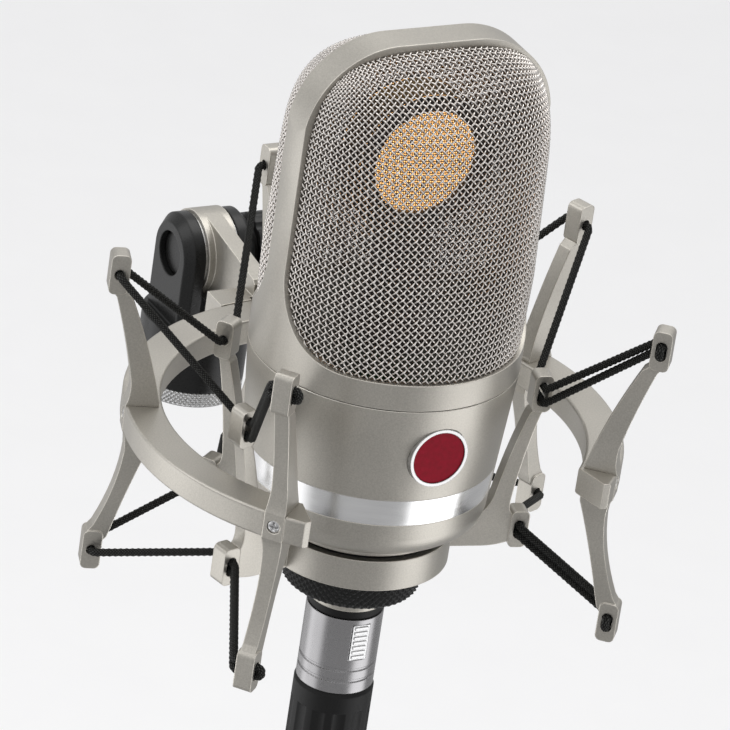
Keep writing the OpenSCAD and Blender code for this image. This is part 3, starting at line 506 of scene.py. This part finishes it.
def gauze(node, flip):
    """The fine inner cloth, a smooth sheet behind the grille with coordinates in wire pitches."""
    inset, pitch, cols, rows = 2.1, 0.55, 96, 80
    u = np.linspace(-1, 1, cols) * 0.49 * math.pi
    z = np.linspace(COLLAR + 0.6, LOBE_BASE + LOBE_HEIGHT - inset - 0.6, rows)
    z, u = np.meshgrid(z, u, indexing="ij")
    x = (GRILLE_HALF_WIDTH - inset) * np.sin(u)
    d = (half_depth(z) - inset) * np.cos(u)
    p, out = onto_grille(np.stack([x, np.maximum(d, 0.5), z], -1), 20)
    p = p - inset * out
    p[..., 1] = np.maximum(p[..., 1], BAND_HALF - 0.5)
    uvs = np.stack([np.arange(cols)[None] * 1.02 / pitch + 0 * z, z / pitch], -1).reshape(-1, 2)
    placed = np.stack([flip * p[..., 0], -flip * p[..., 1], p[..., 2]], -1).reshape(-1, 3)
    build(f"{node}_gauze", from_mic(placed), grid_faces(rows, cols), node, uvs)


net = cloth_net()
woven_grille("front_grille", 1, *net)
woven_grille("rear_grille", -1, *net)
gauze("front_screen", 1)
gauze("rear_screen", -1)


# ---- Knurled and threaded rings --------------------------------------------------------


def knurl(turn, z, count, pitch, depth):
    """Depth of a diamond knurl below its tips."""
    turns = turn * count / (2 * math.pi)
    groove = [np.abs(((turns + s * z / pitch) % 1) - 0.5) * 2 for s in (1, -1)]
    return depth * np.clip(np.maximum(*groove) * 1.25 - 0.25, 0, 1)


def thread(turn, z, pitch, depth):
    return depth * np.abs((((z / pitch) + turn / (2 * math.pi)) % 1) - 0.5) * 2


def lathe(name, node, profile, steps, centre):
    """A ring from a closed list of (radius, z, cut), where cut(turn, z) is taken off the radius."""
    turn = np.linspace(0, 2 * math.pi, steps, endpoint=False)
    rows = []
    for radius, z, cut in profile:
        r = radius - (cut(turn, z) if cut else 0)
        rows.append(np.stack([r * np.sin(turn), -r * np.cos(turn), np.full(steps, z)], 1))
    points = np.concatenate(rows) * MM + np.asarray(centre)
    faces = grid_faces(len(profile), steps, closed_rows=True, closed_cols=True)
    piece = build(name, points, faces, node)
    split = piece.modifiers.new("edges", "EDGE_SPLIT")
    split.split_angle = math.radians(32)
    return piece


# Ridges of the knurls round their rings, and the nut's bore
NUT_RIDGES, ADAPTER_RIDGES = 56, 72
NUT_BORE = 9.86


def nut_profile(top, bottom, outer, inner):
    edge, step = 0.8, 0.12
    cut = lambda turn, z: knurl(turn, z, NUT_RIDGES, 1.62, 0.62)
    bore = lambda turn, z: thread(turn, z, 1.0, 0.15)
    rows = [(inner, top, None), (outer - edge - 0.5, top, None)]
    rows += [(outer - edge * (1 - s), top - edge * s, lambda t, z: 0.6 * cut(t, z)) for s in (0.0, 0.5)]
    rows += [(outer, z, cut) for z in np.arange(top - edge, bottom + edge, -step)]
    rows += [(outer - edge * (1 - s), bottom + edge * s, lambda t, z: 0.6 * cut(t, z)) for s in (0.5, 0.0)]
    rows += [(outer - edge - 0.5, bottom, None), (inner, bottom, None)]
    rows += [(inner, z, bore) for z in np.arange(bottom + 0.3, top - 0.2, 0.2)]
    return rows


nut_top, nut_bottom = ((z - MIC[2]) / MM for z in (nut_high.z, nut_low.z))
nut_outer = (nut_high.x - nut_low.x) / 2 / MM
nut_rows = nut_profile(nut_top, nut_bottom, nut_outer, NUT_BORE)
lathe("clamp_nut_knurled", "clamp_nut", nut_rows, 12 * NUT_RIDGES, MIC)


def adapter_profile():
    low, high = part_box("thread_adapter")
    outer, top = (high.x - low.x) / 2 / MM, high.z / MM
    flange, shank, bore = 4.0, 7.88, 4.76
    cut = lambda turn, z: knurl(turn, z, ADAPTER_RIDGES, 1.17, 0.35)
    male = lambda turn, z: thread(turn, z, 0.94, 0.5)
    female = lambda turn, z: thread(turn, z, 1.59, 0.8)
    rows = [(bore + 0.9, 0.0, None), (outer - 0.5, 0.0, None)]
    rows += [(outer, z, cut) for z in np.arange(0.35, flange - 0.3, 0.1)]
    rows += [(outer - 0.5, flange, None), (shank, flange, None)]
    rows += [(shank, z, male) for z in np.arange(flange + 0.4, top - 0.4, 0.15)]
    rows += [(shank - 0.5, top, None), (bore, top, None)]
    rows += [(bore, z, female) for z in np.arange(top - 0.2, 0.6, -0.2)]
    return rows


lathe("thread_adapter_knurled", "thread_adapter", adapter_profile(), 9 * ADAPTER_RIDGES, (0, 0, 0))


# ---- Screws ----------------------------------------------------------------------------


def cross_screws(name, node, places, radius, outer, under, shank, end):
    """Screws with a cross recess, pointing outward along the radius at each (angle, z). A head
    reaches from under to outer, its shank from end to under."""
    spokes, turns = 26, 72
    turn = np.linspace(0, 2 * math.pi, turns, endpoint=False)
    share = np.linspace(0.02, 1, spokes)
    x, y = radius * share[:, None] * np.cos(turn), radius * share[:, None] * np.sin(turn)
    slot = np.minimum(
        np.maximum(np.abs(x) / (0.16 * radius), np.abs(y) / (0.56 * radius)),
        np.maximum(np.abs(y) / (0.16 * radius), np.abs(x) / (0.56 * radius)),
    )
    dip = 0.8 * np.clip(1.35 - slot, 0, 0.7) / 0.7
    face = -0.28 * share[:, None] ** 4 - dip
    sides = [(radius, -0.5), (radius, under - outer), (shank, under - outer), (shank, end - outer)]
    x = np.concatenate([x] + [r * np.cos(turn)[None] for r, _ in sides])
    y = np.concatenate([y] + [r * np.sin(turn)[None] for r, _ in sides])
    out = np.concatenate([face] + [np.full((1, turns), h) for _, h in sides]) + outer
    points, faces = [], []
    for angle, z in places:
        a = math.radians(angle)
        along, beside = np.array([math.sin(a), -math.cos(a), 0]), np.array([math.cos(a), math.sin(a), 0])
        start = len(points) * x.size
        place = out[..., None] * along + x[..., None] * beside + (y[..., None] + z) * np.array([0, 0, 1])
        points.append(place.reshape(-1, 3))
        faces += [list(f) for f in grid_faces(len(x), turns, closed_cols=True, start=start)]
        faces.append([start + k for k in reversed(range(turns))])
        faces.append([start + x.size - turns + k for k in range(turns)])
    build(name, from_mic(np.concatenate(points)), faces, node)


RING_MID = -21.4
ARM_ANGLES = (-49.5, 49.5, -109.0, 109.0, 180.0)
cross_screws("cage_arm_screws_crossed", "cage_arm_screws", [(a, RING_MID) for a in ARM_ANGLES],
             radius=1.6, outer=59.0, under=58.05, shank=1.0, end=54.1)
cross_screws("bracket_screws_crossed", "bracket_screws", [(172, RING_MID), (188, RING_MID)],
             radius=2.2, outer=65.6, under=63.55, shank=1.3, end=54.1)


# ---- Braided cords ---------------------------------------------------------------------

CORD_R, STRAND, WIDE_STRAND, TIP = 1.0, 1.15, 1.9, 4.4


def beside(angle, hole, off, rise):
    """A point beside the hole of the arm at angle, off its face and raised."""
    a, (r, z) = math.radians(angle), hole
    return [r * math.sin(a) + off * math.cos(a), off * math.sin(a) - r * math.cos(a), z + rise]


def half_cord(cage, cradle, side, wide):
    off = side * (TIP / 2 + CORD_R + 0.3)
    rear, arm, front, tip = side * 144, side * 109, side * 78, side * 49.5
    return [
        beside(180 * side, cage, -off, 0),
        beside(rear, cradle, off, 0), beside(rear, cradle, -off, 0),
        beside(arm, cage, off, 0), beside(arm, cage, -off, 0),
        beside(front, cradle, off, wide), beside(front, cradle, -off, wide),
        beside(tip, cage, off, STRAND), beside(tip, cage, -off, STRAND),
        beside(tip, cage, -off, -STRAND), beside(tip, cage, off, -STRAND),
        beside(front, cradle, -off, -wide), beside(front, cradle, off, -wide),
    ]


def eased(path, cut, step):
    """A path with its corners rounded, in even steps."""
    points = [path[0]]
    for a, b, c in zip(path[:-2], path[1:-1], path[2:]):
        reach = min(cut, np.linalg.norm(a - b) * 0.45, np.linalg.norm(c - b) * 0.45)
        p, q = b + reach * unit(a - b), b + reach * unit(c - b)
        for t in np.linspace(0, 1, 7):
            points.append((1 - t) ** 2 * p + 2 * t * (1 - t) * b + t * t * q)
    points.append(path[-1])
    points = np.array(points)
    length = np.concatenate([[0], np.cumsum(np.linalg.norm(np.diff(points, axis=0), axis=1))])
    even = np.arange(0, length[-1], step)
    return np.stack([np.interp(even, length, points[:, k]) for k in range(3)], 1)


def braided_cord(name, node, cage, cradle, wide):
    """One piece for each run of the cord, from a hole in the cage to a hole in the cradle."""
    sides, step, strands, lay = 20, 0.2, 4, 1.5
    path = np.array(half_cord(cage, cradle, -1, wide)[::-1] + half_cord(cage, cradle, 1, wide))
    line = eased(path, 1.1, step)
    tangent = unit(np.gradient(line, axis=0))
    normal = np.zeros_like(line)
    now = unit(np.cross(tangent[0], [0, 0, 1.0]))
    for k, t in enumerate(tangent):
        now = unit(now - t * (now @ t))
        normal[k] = now
    # The cord is cut in each hole it passes, and outside the front tips, where it turns back
    middles = [(path[i] + path[i + 1]) / 2 for i in (3, 6, 8, 10, 12, 14, 16, 18, 21)]
    cuts = [0] + [int(np.argmin(np.linalg.norm(line - m, axis=1))) for m in middles] + [len(line) - 1]
    turn = np.arange(sides)[None] * strands / sides
    for k, (first, last) in enumerate(zip(cuts[:-1], cuts[1:])):
        part = slice(first, last + 1)
        points, faces = tube(line[part], normal[part], 1.0, sides)
        rings = points.reshape(-1, sides, 3)
        along = np.arange(first, last + 1)[:, None] * step / lay
        ridge = np.abs(np.sin(math.pi * (along + turn))) * np.abs(np.sin(math.pi * (along - turn)))
        radius = CORD_R * (0.82 + 0.18 * ridge)
        rings = line[part, None] + (rings - line[part, None]) * radius[..., None]
        uvs = np.stack([along + 0 * turn, turn + 0 * along], -1).reshape(-1, 2)
        ends = sorted(from_mic(line[[first, last]]), key=lambda p: -math.dist(p[:2], MIC[:2]))
        build(f"{name}_{k + 1}", from_mic(rings.reshape(-1, 3)), faces, node, uvs, span=ends)


braided_cord("upper_cord_braided", "upper_cord", (64.2, 15.5), (40, -12), WIDE_STRAND)
braided_cord("lower_cord_braided", "lower_cord", (62.5, -57), (39.5, -48.5), STRAND)


# ---- Floor, light and camera -----------------------------------------------------------

FLOOR_DROP = 0.45
floor_mesh = bpy.data.meshes.new("floor")
reach, ground = 6.0, cad_box[0].z - FLOOR_DROP
floor_mesh.from_pydata(
    [(-reach, -reach, ground), (reach, -reach, ground), (reach, reach, ground), (-reach, reach, ground)],
    [], [(0, 1, 2, 3)],
)
floor = bpy.data.objects.new("floor", floor_mesh)
bpy.context.scene.collection.objects.link(floor)
floor_look = Look("floor")
floor_tone = floor_look.spread(floor_look.noise(30.0, detail=2.0), 0.3, 0.7, 0.915, 0.925)
floor_look.set(
    Base_Color=floor_look.node("CombineColor", {0: floor_tone, 1: floor_tone, 2: floor_tone}).outputs[0],
    Roughness=0.9, Specular_IOR_Level=0.1,
)
floor_mesh.materials.append(floor_look.material)
# The finishes reflect the studio's own gradient instead of the floor
floor.visible_glossy = False

centre = (cad_box[0] + cad_box[1]) / 2


def direction(azimuth, elevation):
    """Towards a place on the sky: azimuth 0 is in front of the microphone and 90 is to its right."""
    a, e = math.radians(azimuth), math.radians(elevation)
    return Vector((math.sin(a) * math.cos(e), -math.cos(a) * math.cos(e), math.sin(e)))


def softbox(name, azimuth, elevation, distance, size, power, tint=(1, 1, 1)):
    """A square area light aimed at the object's middle."""
    back = direction(azimuth, elevation)
    light = bpy.data.lights.new(name, "AREA")
    light.shape, light.size, light.energy, light.color = "SQUARE", size, power, tint
    lamp = bpy.data.objects.new(name, light)
    bpy.context.scene.collection.objects.link(lamp)
    lamp.location = centre + back * distance
    lamp.rotation_euler = back.to_track_quat("Z", "Y").to_euler()
    return lamp


softbox("top", 120, 68, 1.0, 0.7, 3.5, (1.0, 0.99, 0.97))
softbox("key", -110, 40, 1.0, 0.6, 2.0)


def studio_sky():
    """A soft sky, brighter above, with pale round cards standing in it."""
    world = bpy.data.worlds.new("studio")
    bpy.context.scene.world = world
    world.use_nodes = True
    tree = world.node_tree
    look = Nodes(tree)
    ray = look.coords.outputs["Generated"]
    height = look.node("SeparateXYZ", {0: ray}).outputs[2]
    level = look.spread(height, *SKY_LEVELS)
    for azimuth, elevation, width, gain in SKY_CARDS:
        place = direction(azimuth, elevation)
        facing = look.node("VectorMath", {0: ray, 1: place}, operation="DOT_PRODUCT").outputs["Value"]
        inner, outer = (math.cos(math.radians(w)) for w in (width * 0.65, width))
        level = look.math("ADD", level, look.spread(facing, outer, inner, 0.0, gain))
    level = look.math("MAXIMUM", level, 0.02)
    tint = look.node("CombineColor", {0: level, 1: level, 2: look.math("MULTIPLY", level, 1.01)}).outputs[0]
    background = tree.nodes["Background"]
    tree.links.new(tint, background.inputs[0])
    return world


# Height where the sky starts to brighten, height where it stops, and the brightness at both
SKY_LEVELS = (-0.3, 0.7, 0.46, 0.9)
# Azimuth, elevation, half width and brightness of each card
SKY_CARDS = (
    (47, -36, 27, 1.75),
    (-112, -24, 32, 1.15),
    (-150, -24, 30, 0.4),
)
studio_sky()


def aimed_camera(azimuth, elevation, roll, distance, lens, shift):
    """A camera aimed past the seam's centre, turned by roll about its own axis, moved sideways by shift."""
    a, e, r = map(math.radians, (azimuth, elevation, roll))
    back = Vector((math.sin(a) * math.cos(e), -math.cos(a) * math.cos(e), math.sin(e)))
    right = Vector((math.cos(a), math.sin(a), 0))
    up = back.cross(right)
    x = right * math.cos(r) + up * math.sin(r)
    y = up * math.cos(r) - right * math.sin(r)
    data = bpy.data.cameras.new("camera")
    data.lens, data.sensor_width = lens, 36.0
    data.clip_start, data.clip_end = 0.05, 30.0
    camera = bpy.data.objects.new("camera", data)
    bpy.context.scene.collection.objects.link(camera)
    place = Vector(MIC) - x * shift[0] - y * shift[1] + back * distance
    columns = [x, y, back]
    rows = [[c[k] for c in columns] + [place[k]] for k in range(3)] + [[0, 0, 0, 1]]
    camera.matrix_world = Matrix(rows)
    return camera


bpy.context.scene.camera = aimed_camera(-30.84, 27.16, 8.6, 1.5437, 327.6, (0.00455, 0.00452))
bpy.context.scene.view_settings.view_transform = "Standard"

bpy.context.view_layer.update()
